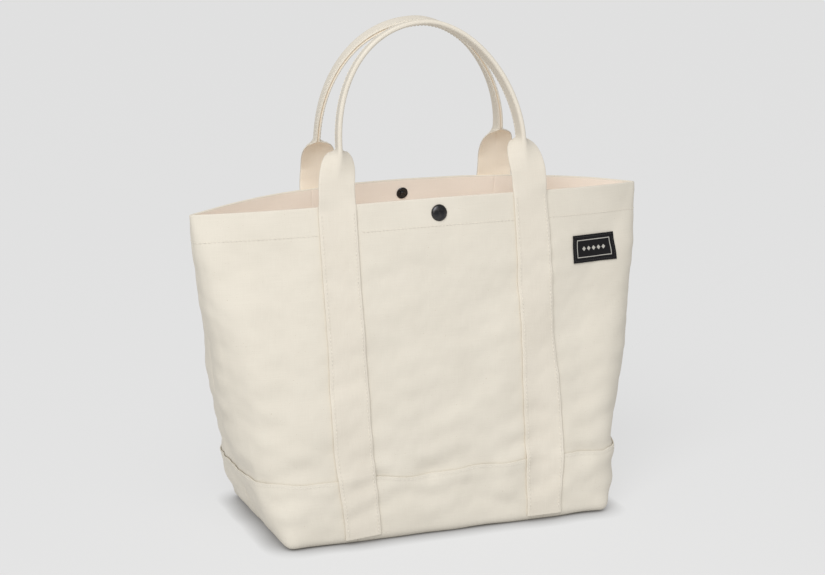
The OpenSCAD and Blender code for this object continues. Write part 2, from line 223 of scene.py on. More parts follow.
def add_mesh(name, points, faces, uvs, finish):
    """A smooth mesh with the cloth's own flat coordinates, in metres, as its UVs."""
    mesh = bpy.data.meshes.new(name)
    mesh.from_pydata(points.reshape(-1, 3).tolist(), [], faces)
    points_of_loops = np.empty(len(mesh.loops), int)
    mesh.loops.foreach_get("vertex_index", points_of_loops)
    loop_uvs = uvs.reshape(-1, 2)[points_of_loops]
    mesh.uv_layers.new(name="flat").data.foreach_set("uv", loop_uvs.ravel())
    mesh.shade_smooth()
    mesh.set_sharp_from_angle(angle=math.radians(62))
    mesh.materials.append(finish)
    piece = bpy.data.objects.new(name, mesh)
    bpy.context.collection.objects.link(piece)
    return piece


def ladder(start, stop, pitch, edge=0.6 * MM):
    """Steps from start to stop, with close ones at both ends for a rounded edge."""
    near = math.copysign(edge, stop - start) * np.array([0, 0.15, 0.5, 1])
    inner = np.linspace(start + near[3], stop - near[3], max(2, round(abs(stop - start) / pitch)))
    near = near[:3]
    return np.concatenate([start + near, inner, stop - near[::-1]])


def quads(rows, columns):
    """Corner numbers of the faces of a grid."""
    i, j = np.meshgrid(np.arange(rows - 1), np.arange(columns - 1), indexing="ij")
    a = (i * columns + j).ravel()
    return np.stack([a, a + 1, a + columns + 1, a + columns], -1)


def cloth(name, middle, flat, finish, thick=canvas_thick):
    """A closed sheet of cloth round a grid of points at the middle of its thickness. flat is
    where each point lay before it was sewn. The outer face is on the right of the grid."""
    rows, columns = middle.shape[:2]
    normal = np.cross(np.gradient(middle, axis=1), np.gradient(middle, axis=0))
    normal /= np.linalg.norm(normal, axis=-1, keepdims=True)
    rise = np.linalg.norm(np.diff(flat, axis=0), axis=-1)
    run = np.linalg.norm(np.diff(flat, axis=1), axis=-1)
    from_foot = np.vstack([np.zeros((1, columns)), np.cumsum(rise, 0)])
    from_left = np.hstack([np.zeros((rows, 1)), np.cumsum(run, 1)])
    edge = np.minimum(np.minimum(from_foot, from_foot[-1] - from_foot),
                      np.minimum(from_left, from_left[:, -1:] - from_left))
    pinch = np.sqrt(1 - (1 - np.clip(2 * edge / thick, 0, 1)) ** 2).clip(0.12)
    half = normal * (thick / 2 * pinch)[..., None]
    outer = quads(rows, columns)
    count = rows * columns
    rim = np.concatenate([np.arange(columns), np.arange(1, rows) * columns + columns - 1,
                          (rows - 1) * columns + np.arange(columns - 2, -1, -1),
                          np.arange(rows - 2, -1, -1) * columns])
    side = np.stack([rim[:-1] + count, rim[1:] + count, rim[1:], rim[:-1]], -1)
    faces = np.concatenate([outer, outer[:, ::-1] + count, side])
    points = np.concatenate([(middle + half).reshape(-1, 3), (middle - half).reshape(-1, 3)])
    return add_mesh(name, points, faces.tolist(), np.concatenate([flat, flat]), finish)


def sewn_cloth(name, u, v, off, face, finish, thick=canvas_thick):
    """Cloth that lies on the bag, from its distance round, its height and how far out it is."""
    u, v, off = np.broadcast_arrays(u, v, off)
    run = np.concatenate([[0], np.cumsum(np.hypot(np.diff(v[:, 0]), np.diff(off[:, 0])))])
    flat = np.stack([u, run[:, None] + 0 * u], -1)
    order = slice(None, None, -face)
    return cloth(name, skin(u, v, off, face)[:, order], flat[:, order], finish, thick)


class Wire:
    """A socket of a shader, which can be added, multiplied and subtracted as a number."""

    def __init__(self, tree, socket=None):
        self.tree = tree
        self.socket = socket

    def node(self, kind, settings=None, sockets=None, output=0):
        made = self.tree.nodes.new(kind)
        for setting, value in (settings or {}).items():
            setattr(made, setting, value)
        for key, value in (sockets or {}).items():
            into = made.inputs[key]
            if isinstance(value, Wire):
                self.tree.links.new(value.socket, into)
            else:
                into.default_value = value
        return Wire(self.tree, made.outputs[output])

    def math(self, operation, *values):
        return self.node("ShaderNodeMath", {"operation": operation}, dict(enumerate(values)))

    def __add__(self, other):
        return self.math("ADD", self, other)

    __radd__ = __add__

    def __sub__(self, other):
        return self.math("SUBTRACT", self, other)

    def __rsub__(self, other):
        return self.math("SUBTRACT", other, self)

    def __mul__(self, other):
        return self.math("MULTIPLY", self, other)

    __rmul__ = __mul__

    def __abs__(self):
        return self.math("ABSOLUTE", self)

    def sine(self):
        return self.math("SINE", self)

    def within(self, low, high):
        """0 below low, 1 above high, and even between."""
        ends = {"From Min": low, "From Max": high}
        return self.node("ShaderNodeMapRange", {}, {"Value": self, **ends})

    def tint(self, plain, marked):
        """From the plain colour at 0 to the marked one at 1."""
        return self.node("ShaderNodeMix", {"data_type": "RGBA"}, {0: self, 6: plain, 7: marked}, 2)

    def noise(self, where, stretch, detail=2):
        """Noise whose grains are stretch metres across, along and deep."""
        scale = tuple(1 / size for size in stretch)
        spread = self.node("ShaderNodeVectorMath", {"operation": "MULTIPLY"}, {0: where, 1: scale})
        return self.node("ShaderNodeTexNoise", {}, {"Vector": spread, "Scale": 1, "Detail": detail})


def new_finish(name, roughness=0.9, sheen=0.0, metallic=0.0):
    """An empty material: its shader, and a wire to build on."""
    material = bpy.data.materials.new(name)
    material.use_nodes = True
    shader = material.node_tree.nodes["Principled BSDF"]
    shader.inputs["Roughness"].default_value = roughness
    shader.inputs["Sheen Weight"].default_value = sheen
    shader.inputs["Metallic"].default_value = metallic
    return material, shader, Wire(material.node_tree)


def join(wire, shader, socket):
    wire.tree.links.new(wire.socket, shader.inputs[socket])


def woven(name, warp_pitch, weft_pitch, light, dark, fleck, depth=0.12 * MM):
    """Plain woven cotton: threads that go over and under, uneven yarn, a few seed flecks, and painted
    shade in the hollows between the threads.
    """
    material, shader, start = new_finish(name, roughness=0.92, sheen=0.08)
    shader.inputs["Specular IOR Level"].default_value = 0.25
    flat = start.node("ShaderNodeUVMap", {"uv_map": "flat"})
    across = start.node("ShaderNodeSeparateXYZ", {}, {0: flat}, 0)
    along = start.node("ShaderNodeSeparateXYZ", {}, {0: flat}, 1)
    warp = (across * (math.pi / warp_pitch)).sine()
    weft = (along * (math.pi / weft_pitch)).sine()
    over = (warp * weft).within(-0.25, 0.25)
    height = over * abs(warp) + (1 - over) * abs(weft)
    yarn = over * start.noise(flat, (warp_pitch, 26 * MM, 1)) \
        + (1 - over) * start.noise(flat, (26 * MM, weft_pitch, 1))
    cloud = start.noise(flat, (60 * MM, 60 * MM, 1), 3)
    # Painted shade: the hollows between the threads are darker; the yarn and cloud noise give the
    # cloth's own uneven tone.
    tone_and_hollow_shade = ((1 - height) * 0.30 + (yarn - 0.5) * 0.9 + (cloud - 0.5) * 0.9).within(-0.35, 0.75)
    seeds = start.noise(flat, (1.1 * MM, 1.6 * MM, 1), 1).within(0.735, 0.80)
    colour = (seeds * 0.55).tint(tone_and_hollow_shade.tint(light, dark), fleck)
    join(colour, shader, "Base Color")
    bump = start.node("ShaderNodeBump", {}, {"Strength": 0.55, "Distance": depth,
                                             "Height": height * 0.7 + yarn * 0.9})
    join(bump, shader, "Normal")
    return material


canvas = woven("natural_canvas", 0.75 * MM, 1.05 * MM, (0.785, 0.735, 0.64, 1),
               (0.68, 0.632, 0.54, 1), (0.42, 0.31, 0.19, 1))

# The inside finish is a lighter, warmer copy of the canvas with a painted glow: painted light that
# stands in for daylight through the walls and light bounced inside the bag.
inside = woven("canvas_inside_painted_glow", 0.75 * MM, 1.05 * MM, (0.85, 0.78, 0.70, 1),
               (0.77, 0.70, 0.62, 1), (0.50, 0.38, 0.25, 1))


def paint_glow_for_light_through(finish, colour, strength):
    """A painted glow: emission on the inner face that stands in for the daylight which would come
    through the cloth and warm it a little.
    """
    shader = finish.node_tree.nodes["Principled BSDF"]
    shader.inputs["Emission Color"].default_value = colour
    shader.inputs["Emission Strength"].default_value = strength


paint_glow_for_light_through(inside, (1, 0.86, 0.75, 1), 0.12)

hem_round = 0.75 * MM           # the cloth turns over at the rim this tightly
wall_off = canvas_thick / 2
roll = np.linspace(0, math.pi, 9)
hem_rows = ladder(centre_height, centre_height - hem_depth, 3.5 * MM)[3:]
wall_rows = ladder(-turn_under, centre_height, 3.2 * MM)[:-3]
panel_v = np.concatenate([wall_rows, centre_height + hem_round * np.sin(roll), hem_rows])
panel_off = np.concatenate([0 * wall_rows + wall_off,
                            wall_off - hem_round * (1 - np.cos(roll)),
                            0 * hem_rows + wall_off - 2 * hem_round])


def panel_dip(u, v, face):
    """The panel is drawn in just above the edge of the base band."""
    return -0.5 * MM * np.exp(-((v - band_top(*base_edge(u, face)) - 4 * MM) / (4.5 * MM)) ** 2)


def wall_cut(name, u, face):
    """One cut of the wall, up to the rim and down inside it. The hem's two faces and the wall's
    inner face take the inside finish, a lighter copy of the canvas with a painted glow."""
    v = panel_v[:, None] + 0 * u
    off = panel_off[:, None] + panel_dip(u, v, face) * (panel_off[:, None] > 0)
    piece = sewn_cloth(name, u, v, off, face, canvas)
    piece.data.materials.append(inside)
    strip = v.shape[1] - 1
    outer = strip * (len(panel_v) - 1)
    marks = np.zeros(len(piece.data.polygons), np.int32)
    marks[outer - strip * len(hem_rows):2 * outer] = 1
    piece.data.polygons.foreach_set("material_index", marks)
    return piece


def wall_hinge(face):
    return (0, face * base_half[1], 0), (0, face * base_half[1], 25 * MM)


def wall_body(face):
    return "front_wall" if face == front else "back_wall"


for side, face in (("front", front), ("back", back)):
    panel = wall_cut(f"{side}_panel_cloth", ladder(-strap_x, strap_x, 3.2 * MM)[None], face)
    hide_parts(f"{side}_panel", f"{side}_hem")
    wall_body(face)
    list(wall_hinge(face))
    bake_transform(panel)

# Sides. The same canvas carried round each corner in one soft fold to the seam down the middle
# of the end, so that the bag is boxed at its base and flat at the rim. Four quarters are joined
# at the side seams.


def corner_columns(v, steps):
    """Distances round the bag, from under the strap to the side seam, at each height."""
    s = np.maximum(v, 0) / centre_height
    reach = half_width(s) + fold_depth(s) - 0.25 * MM
    return strap_x + (reach - strap_x)[:, None] * ladder(0, 1, 1 / steps, edge=0.004)[None]


still_from = (243 * MM, 340 * MM)          # across and up: the side seam at the rim
moving_from = (123.96 * MM, 355.06 * MM)   # and 120 mm in from it, square to the seam


def corner_blend(piece, hand, face):
    """Bakes the piece's placement into its mesh."""
    wall_body(face)
    hand * still_from[0]
    hand * moving_from[0]
    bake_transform(piece)


left, right = -1, 1
corners = [(f"{hand}_{side}", way, face) for hand, way in (("left", left), ("right", right))
           for side, face in (("front", front), ("back", back))]
for name, hand, face in corners:
    u = hand * corner_columns(panel_v, 52)[:, ::hand]
    quarter = wall_cut(f"{name}_side_cloth", u, face)
    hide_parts(f"{name}_side", f"{name}_hem")
    corner_blend(quarter, hand, face)

# Base. Two plies of canvas cut to the boxed shape, lying one on the other. The walls and the
# base band turn in under their edge and are seamed to them.

bottom_inset = 8.4 * MM
bottom_round = 6 * MM


def bottom_ply(name, z):
    reach = np.array(base_half) - bottom_inset
    x, y = (ladder(-size, size, 7 * MM) for size in reach)
    grid = np.stack(np.meshgrid(x, y), -1)
    core = np.clip(grid, -(reach - bottom_round), reach - bottom_round)
    out = grid - core
    longest = np.abs(out).max(-1, keepdims=True)
    grid = core + out * longest / np.maximum(np.linalg.norm(out, axis=-1, keepdims=True), 1e-9)
    level = np.concatenate([grid, np.full(grid.shape[:2] + (1,), z)], -1)
    level[..., 2] += 0.12 * MM * ripple(level, 60 * MM, 31)
    piece = cloth(name, level, grid, canvas)
    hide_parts(name.replace("_cloth", ""))
    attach(piece, "bag_base")


bottom_ply("outer_bottom_cloth", 0.9 * MM)
bottom_ply("inner_bottom_cloth", 2.4 * MM)

# Base band. A second ply of canvas round the foot of the bag, its top edge turned in and
# topstitched 3 mm down, which makes the edge stand proud and pucker.

stitch_inset = 3 * MM
band_height = 66 * MM


def band_grid(u, face):
    """Heights and offsets of the band's rows, one column for each distance round the bag."""
    share = ladder(0, 1, 1 / 26, edge=0.009)[:, None]
    top = band_top(*base_edge(u, face))
    v = -turn_under + (top + turn_under) * share
    below = top - v
    proud = 0.2 * MM * np.exp(-(below / (2 * MM)) ** 2) \
        + 0.65 * MM * np.exp(-((below - 11 * MM) / (6 * MM)) ** 2) \
        - 0.35 * MM * np.exp(-((below - stitch_inset) / (1.2 * MM)) ** 2)
    under_strap = 1 - smooth((np.abs(np.abs(u) - strap_x) - 18 * MM) / (9 * MM))
    return v, ply + canvas_thick / 2 + proud * (1 - under_strap)


def band_piece(name, u, face, nodes):
    v, off = band_grid(u, face)
    band = sewn_cloth(f"{name}_base_band_cloth", u + 0 * v, v, off, face, canvas)
    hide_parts(nodes)
    return band


for side, face in (("front", front), ("back", back)):
    band = band_piece(side, ladder(-strap_x, strap_x, 2.6 * MM)[None], face, f"{side}_base_band")
    wall_body(face)
    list(wall_hinge(face))
    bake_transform(band)
for name, hand, face in corners:
    u = hand * corner_columns(np.array([band_height / 2]), 64)[:, ::hand]
    band = band_piece(name, u, face, f"{name}_base_band")
    corner_blend(band, hand, face)

# Straps. One length of 38 mm cotton webbing for each wall. It is sewn up the wall from the base
# edge to the rim, runs on flat for 23 mm, is folded in half lengthwise over the next 34 mm, with
# its spine outside, and is sewn through both edges to make the handle.

strap_width = 38 * MM
strap_thick = 2.2 * MM
spine_bend = 2.2 * MM           # length of webbing taken up by the bend at the spine
handle_height = 179 * MM
fold_height = 57 * MM           # above the rim, where the strap is quite folded
fold_run = 34 * MM              # and over what height it folds
leg_taper = 3 * MM
leg_foot = 12.5 * MM            # height at which the legs begin to draw together
arch_power = (2 / 2.15, 2 / 1.8)
leg_twist = math.tan(math.radians(9))       # the left leg's free edges turn sideways this much
handle_gap = 0.6 * MM           # half the room between the two handles at their tops
fold_slack = 0.6 * MM           # the folded halves draw back this much at their edges
fold_sharpness = 1.3
twist_reach = 60 * MM           # how far from the middle the twist is full
wall_reach = 16 * MM            # the wall's surface is followed this far above the rim
widest = 140 * MM               # and this far from the middle
band_step = 8 * MM              # height over which the strap steps down off the base band
loose_from = -6 * MM            # height at which the strap begins to leave the wall's surface
loose_over = 18 * MM            # and how much higher it stands in its own plane
left_shift = {front: -3.5 * MM, back: 7 * MM}       # how far the left leg is sewn off its place
left_slant = {front: 9 * MM, back: -7 * MM}         # and how much its foot leans back
foot_height = 4 * MM

webbing = woven("cotton_webbing", 1.25 * MM, 0.8 * MM, (0.785, 0.73, 0.635, 1),
                (0.685, 0.63, 0.535, 1), (0.55, 0.45, 0.33, 1), depth=0.16 * MM)

# The webbing's inner face is a lighter, warmer copy with a painted glow: painted light that stands in
# for light through the webbing and bounced between its folded halves.
webbing_inside_painted_glow = woven("webbing_inside_painted_glow", 1.25 * MM, 0.8 * MM, (0.86, 0.79, 0.68, 1),
                       (0.76, 0.685, 0.575, 1), (0.60, 0.47, 0.33, 1), depth=0.16 * MM)
paint_glow_for_light_through(webbing_inside_painted_glow, (1, 0.82, 0.64, 1), 0.11)

seat = fold_depth(1) + (rim_middle - fold_depth(1)) * (1 - (strap_x / mouth_half[0]) ** lens_power)
seat = seat + ply + strap_thick
seat_height = corner_height + (centre_height - corner_height) * (1 - (strap_x / mouth_half[0]) ** 2)
edge_reach = strap_width / 2 - 0.3 * MM
crown = handle_height + strap_thick + 0.3 * MM
lean = math.asin((seat - handle_gap) / math.hypot(edge_reach, crown)) - math.atan2(edge_reach, crown)


def on_rim(x, inward, up, face):
    """A place in the leaning plane of a handle, which stands on the rim at the strap's face."""
    y = seat - inward * math.cos(lean) - up * math.sin(lean)
    z = seat_height - inward * math.sin(lean) + up * math.cos(lean)
    return np.stack(np.broadcast_arrays(x, face * y, z), -1)


def strap_line(face):
    """The strap's middle line from its left foot over to its right one: x and height above the
    rim at each step, and the length run."""
    rise = np.concatenate([np.linspace(foot_height - centre_height, -10 * MM, 96)[:-1],
                           np.linspace(-10 * MM, fold_height, 46)[:-1]])
    drawn = leg_taper * smooth((rise - leg_foot) / (fold_height - leg_foot))
    turn = np.linspace(0, math.pi, 131)
    power = np.where(turn < math.pi / 2, *arch_power)
    arch_x = -np.sign(np.cos(turn)) * np.abs(np.cos(turn)) ** power * (strap_x - leg_taper)
    arch_h = fold_height + (handle_height - fold_height) * np.sin(turn) ** power
    shift = left_shift[face] * (1 - smooth((rise - 20 * MM) / (fold_height - 20 * MM)))
    slant = left_slant[face] * (rise.clip(None, 0) / centre_height) ** 2
    x = np.concatenate([-strap_x + drawn + shift + slant, arch_x, (strap_x - drawn)[::-1]])
    h = np.concatenate([rise, arch_h, rise[::-1]])
    run = np.concatenate([[0], np.cumsum(np.hypot(np.diff(x), np.diff(h)))])
    return x, h, run


strap_lines = {face: strap_line(face) for face in (front, back)}


def on_strap(run, across, lift, face):
    """A point of the strap: run along it, across it from its middle line, and lift outwards
    from the middle of its thickness."""
    run, across, lift = np.broadcast_arrays(run, across, lift)
    x, h, length = strap_lines[face]
    heading = np.arctan2(np.gradient(h), np.gradient(x))
    x, h, heading = (np.interp(run, length, values) for values in (x, h, heading))
    opened = np.clip((fold_height - h) / fold_run, 0, 1)
    fold = math.pi / 2 * (1 - np.sqrt(opened)) ** fold_sharpness
    a = np.abs(across) - fold_slack * np.sin(fold) * (np.abs(across) > spine_bend)
    turn = fold * np.minimum(a / spine_bend, 1)
    bent = np.minimum(a, spine_bend)
    straight = a - bent
    side = bent * np.sinc(turn / math.pi) + straight * np.cos(fold) + lift * np.sin(turn)
    inward = bent * np.sin(turn / 2) * np.sinc(turn / 2 / math.pi) + straight * np.sin(fold)
    inward = inward + strap_thick / 2 - lift * np.cos(turn)
    side = np.sign(across) * side
    twisted = leg_twist * smooth(-x / twist_reach) * smooth(h / fold_height)
    px = x + side * np.sin(heading) - face * twisted * inward
    ph = h - side * np.cos(heading)
    v = np.minimum(centre_height + ph, centre_height + wall_reach)
    over_panel = smooth((v - band_top(*base_edge(px, face))) / band_step)
    off = ply * (2 - over_panel) + strap_thick - inward
    held = skin(px.clip(-widest, widest), v, off, face)
    part = smooth((h - loose_from) / loose_over)[..., None]
    return held * (1 - part) + on_rim(px, inward, ph, face) * part


half_thick = strap_thick / 2
flat_half = strap_width / 2 - half_thick
half_across = np.concatenate([np.linspace(0, spine_bend, 5), np.linspace(spine_bend, flat_half, 7)[1:]])
face_across = np.concatenate([-half_across[:0:-1], half_across])
edge_turn = np.radians([-60, -20, 20, 60])
section_across = np.concatenate([face_across, flat_half + half_thick * np.cos(edge_turn),
                                 face_across[::-1], -flat_half - half_thick * np.cos(edge_turn)])
section_lift = np.concatenate([0 * face_across + half_thick, -half_thick * np.sin(edge_turn),
                               0 * face_across - half_thick, half_thick * np.sin(edge_turn)])


def strap_piece(name, start, stop, pitch, face):
    """The stretch of strap between two lengths, closed at its ends. Its inner face has the
    lighter, warmer inside finish with a painted glow."""
    run = np.linspace(start, stop, max(2, round((stop - start) / pitch)))
    points = on_strap(run[:, None], section_across[None], section_lift[None], face)
    rings, size, wide = len(run), len(section_across), len(face_across)
    ring, k = np.meshgrid(np.arange(rings - 1) * size, np.arange(size), indexing="ij")
    onward = (k + 1) % size
    faces = np.stack([ring + k, ring + onward, ring + size + onward, ring + size + k], -1)
    faces = faces.reshape(-1, 4).tolist()
    inner = wide + len(edge_turn)
    for end, way in ((0, 1), ((rings - 1) * size, -1)):
        cap = [[i + 1, i, inner + wide - 1 - i, inner + wide - 2 - i] for i in range(wide - 1)]
        cap.append(list(range(inner, wide - 2, -1)))
        cap.append([0] + list(range(size - 1, inner + wide - 2, -1)))
        faces += [[end + i for i in outline[::way]] for outline in cap]
    faces = [outline[::-face] for outline in faces]
    flat = np.stack(np.broadcast_arrays(section_across[None], run[:, None]), -1)
    piece = add_mesh(name, points, faces, flat, webbing)
    piece.data.materials.append(webbing_inside_painted_glow)
    marks = np.zeros(len(faces), np.int32)
    marks[:k.size] = ((k >= inner - 1) & (k < inner + wide)).ravel()
    piece.data.polygons.foreach_set("material_index", marks)
    return piece


def run_at(height, face, hand):
    """Length run along the strap to a height above the rim, on its left or its right leg."""
    h, run = strap_lines[face][1:]
    top = np.argmax(h)
    if hand == left:
        return np.interp(height, h[:top], run[:top])
    return np.interp(height, h[top:][::-1], run[top:][::-1])


def bend_body(face):
    return "front_strap_bends" if face == front else "back_strap_bends"


def handle_body(face):
    return "front_carry_handle" if face == front else "back_carry_handle"


root_low, root_high, neck_high = -8 * MM, 8 * MM, 36 * MM
blend_heights = (-2 * MM, root_high, 34 * MM)
for side, face in (("front", front), ("back", back)):
    grips = []
    for hand, way, foot in (("left", left, 0), ("right", right, strap_lines[face][2][-1])):
        name = f"{side}_{hand}_strap"
        marks = [foot] + [run_at(h, face, way) for h in (root_low, root_high, neck_high)]
        parts = [(f"{name}_sewn", 3.2 * MM), (f"{name}_root", 1.3 * MM), (f"{name}_neck", 1.3 * MM)]
        sewn, root, neck = (strap_piece(part, *sorted(marks[i:i + 2]), pitch, face)
                            for i, (part, pitch) in enumerate(parts))
        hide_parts(name)
        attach(sewn, wall_body(face))
        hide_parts(f"{name}_bend")
        levels = [tuple(on_rim(0, half_thick, h, face)) for h in blend_heights]
        wall_body(face)
        bend_body(face)
        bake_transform(root)
        bend_body(face)
        handle_body(face)
        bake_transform(neck)
        grips.append(marks[-1])
    handle = strap_piece(f"{side}_handle_strap", *grips, 3.6 * MM, face)
    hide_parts(f"{side}_handle")
    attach(handle, handle_body(face))

# Press stud. A domed cap and a socket riveted through the front hem, and a post with a lower
# head and its stud through the back one, all in blackened brass.

gunmetal, gunmetal_shader, metal = new_finish("blackened_brass", roughness=0.34, metallic=1.0)
where = metal.node("ShaderNodeTexCoord", output=3)
wear = metal.noise(where, (3 * MM, 3 * MM, 3 * MM), 4).within(0.45, 0.75)
join(wear.tint((0.050, 0.050, 0.054, 1), (0.085, 0.080, 0.076, 1)), gunmetal_shader, "Base Color")
join(wear * 0.16 + 0.24, gunmetal_shader, "Roughness")
pits = metal.noise(where, (0.5 * MM, 0.5 * MM, 0.5 * MM), 3)
join(metal.node("ShaderNodeBump", {}, {"Strength": 0.15, "Distance": 0.05 * MM, "Height": pits}),
     gunmetal_shader, "Normal")

stud_level = centre_height - 14 * MM


def turned(name, profile, off, face, outward=True):
    """A round fitting on the press stud's axis. The profile is radius and height in mm, from
    the middle of its top to the middle of its foot, off the wall's inner face."""
    foot = skin(0, stud_level, off, face)
    axis = skin(0, stud_level, off + 1 * MM, face) - foot
    axis = axis / np.linalg.norm(axis) * (1 if outward else -1)
    across = np.array([1.0, 0, 0])
    other = np.cross(axis, across)
    turns = np.linspace(0, 2 * math.pi, 49)[:-1]
    ring = np.cos(turns)[:, None] * across + np.sin(turns)[:, None] * other
    rows = [foot + MM * (r * ring + h * axis) for r, h in profile]
    points = np.concatenate([[foot + MM * profile[0][1] * axis], *rows[1:-1],
                             [foot + MM * profile[-1][1] * axis]])
    size, rings = len(turns), len(profile) - 2
    k = np.arange(size)
    onward = (k + 1) % size
    faces = [[0, 1 + a, 1 + b] for a, b in zip(k, onward)]
    for i in range(rings - 1):
        low, high = 1 + i * size, 1 + (i + 1) * size
        faces += [[low + a, high + a, high + b, low + b] for a, b in zip(k, onward)]
    last = 1 + rings * size
    faces += [[last, last - size + b, last - size + a] for a, b in zip(k, onward)]
    flat = (points - foot)[:, :2]
    piece = add_mesh(f"{name}_fitting", points, faces, flat, gunmetal)
    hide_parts(name)
    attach(piece, wall_body(face))


def dome(radius, foot, rise):
    """Profile of a low dome, whose rolled rim takes up a twentieth of its radius."""
    shoulder = 0.95 * radius
    arc = [(shoulder * math.sin(t), foot + rise * math.cos(t))
           for t in np.linspace(0, math.pi / 2, 9)]
    rolled = [(shoulder + 0.05 * radius * math.sin(t), foot * (0.5 + 0.5 * math.cos(t)))
              for t in np.linspace(0, math.pi, 6)[1:]]
    return arc + rolled


rivet = [(2.3, 0), (2.3, -4.2), (0, -4.2)]
cap_seat = canvas_thick + 0.1 * MM
turned("snap_cap", dome(8.5, 0.9, 2.6) + rivet, cap_seat, front)
turned("snap_post", dome(6.25, 0.8, 1.5) + rivet, cap_seat, back)
hem_face = -1.6 * MM
turned("snap_socket",
       [(0, 1.4), (2.7, 1.4), (3.1, 1.6), (3.1, 2.7), (3.3, 3.0), (3.7, 3.0), (4.3, 2.4), (5.2, 2.2),
        (5.9, 2.0), (6.25, 1.5), (6.25, 0.5), (6.0, 0.0), (0, 0)], hem_face, front, outward=False)
turned("snap_stud",
       [(0, 3.6), (1.6, 3.6), (2.2, 3.9), (2.7, 3.7), (2.8, 3.2), (2.4, 2.2), (2.3, 1.4), (3.0, 1.1),
        (4.6, 1.2), (5.6, 1.3), (6.1, 0.9), (6.25, 0.4), (6.0, 0.0), (0, 0)],
       hem_face, back, outward=False)

# Label. A black damask ribbon, its ends turned under and sewn down on all four sides. Its woven
# ornament is a plain border and a row of lozenges.

label_size = (57 * MM, 28 * MM)
label_drop = 61 * MM            # how far its middle is below the rim
label_in = 59 * MM              # and how far in from the corner
label_level = centre_height * (1 - label_drop / corner_height)
label_middle = half_width(label_level / centre_height) - label_in
label_thick = 0.7 * MM
filled_out = 0.955              # share of its width to lay out, as the fuller corner stretches it
half_label = (label_size[0] / 2 * filled_out, label_size[1] / 2 * centre_height / corner_height)

damask, damask_shader, weave = new_finish("label_damask", roughness=0.75)
damask_shader.inputs["Specular IOR Level"].default_value = 0.2
flat_place = weave.node("ShaderNodeUVMap", {"uv_map": "flat"})
label_x = weave.node("ShaderNodeSeparateXYZ", {}, {0: flat_place}, 0) - label_middle
label_y = weave.node("ShaderNodeSeparateXYZ", {}, {0: flat_place}, 1) - half_label[1]
border_in = 5.5 * MM
lines = []
within_lines = []
for place, half in ((label_x, half_label[0]), (label_y, half_label[1])):
    lines.append(abs(abs(place) - (half - border_in)).within(0.5 * MM, 0.3 * MM))
    within_lines.append(abs(place).within(half - border_in + 0.4 * MM, half - border_in + 0.2 * MM))
border = lines[0] * within_lines[1] + lines[1] * within_lines[0]
lozenge_pitch = 6.5 * MM
lozenge_x = abs(label_x.math("WRAP", label_x, lozenge_pitch / 2, -lozenge_pitch / 2))
lozenge_row = abs(label_x).within(lozenge_pitch * 2.52, lozenge_pitch * 2.5)
lozenges = (lozenge_x + abs(label_y)).within(2.6 * MM, 2.3 * MM) * lozenge_row
ornament = (border + lozenges).within(0, 1)
rib = (label_y * (math.pi / (0.32 * MM))).sine()
pick = (label_x * (math.pi / (0.45 * MM))).sine()
ground = (rib * pick).within(-1, 1).tint((0.004, 0.004, 0.005, 1), (0.013, 0.012, 0.013, 1))
join((ornament * 0.92).tint(ground, (0.56, 0.54, 0.49, 1)), damask_shader, "Base Color")
join(weave.node("ShaderNodeBump", {}, {"Strength": 0.5, "Distance": 0.12 * MM,
                                       "Height": abs(rib) * 0.5 + abs(pick) * 0.4 + ornament}),
     damask_shader, "Normal")

label_u = ladder(label_middle - half_label[0], label_middle + half_label[0], 1.5 * MM)[None]
label_v = ladder(label_level - half_label[1], label_level + half_label[1], 1.5 * MM)[:, None]
from_edge = np.minimum(half_label[0] - np.abs(label_u - label_middle),
                       half_label[1] - np.abs(label_v - label_level))
label_off = ply + label_thick / 2 + 0.35 * MM * np.exp(-(from_edge / (1.2 * MM)) ** 2)
label = sewn_cloth("woven_label", label_u, label_v, label_off, front, damask, label_thick)
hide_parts("label")
corner_blend(label, right, front)

# Bindings. Cotton tape folded over the raw seam edges inside: one stands up each side seam, and
# one lies along each end of the base.

tape = woven("cotton_tape", 0.6 * MM, 0.6 * MM, (0.80, 0.75, 0.655, 1), (0.68, 0.63, 0.54, 1),
             (0.60, 0.52, 0.42, 1), depth=0.08 * MM)
tape_width = 9 * MM
tape_thick = 2 * MM
end_tape_reach = 80 * MM
end_tape_x = 160 * MM
end_tape_level = 4.2 * MM
for hand, way in (("left", left), ("right", right)):
    v = ladder(9 * MM, 337 * MM, 4 * MM)
    seam_u = way * (half_width(v / centre_height) + fold_depth(v / centre_height))
    seam_line = skin(seam_u, v, -0.5 * MM, front)
    across = ladder(0, tape_width, 1.2 * MM, edge=1 * MM)
    fin = seam_line[:, None] - way * np.array([1, 0, 0]) * across[:, None]
    fin[..., 1] = 0.5 * MM * ripple(fin * (1, 0, 1), 45 * MM, 41) * (across / tape_width)
    flat = np.stack(np.broadcast_arrays(across, v[:, None]), -1)
    binding = cloth(f"{hand}_side_binding_tape", fin, flat, tape, tape_thick)
    y = ladder(-end_tape_reach, end_tape_reach, 4 * MM)
    x = way * (end_tape_x + across)
    lying = np.stack(np.broadcast_arrays(x, y[:, None], end_tape_level), -1)
    lying[..., 2] += 0.2 * MM * ripple(lying, 50 * MM, 43)
    flat = np.stack(np.broadcast_arrays(across, y[:, None]), -1)
    end_tape = cloth(f"{hand}_end_binding_tape", lying, flat, tape, tape_thick)
    for piece, node in ((binding, f"{hand}_side_binding"), (end_tape, f"{hand}_end_binding")):
        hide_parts(node)
        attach(piece, "bag_base")

# Stitching. Doubled cotton thread, ten stitches to 40 mm. Each stitch is a short length of
# thread that dips into the cloth at both ends.

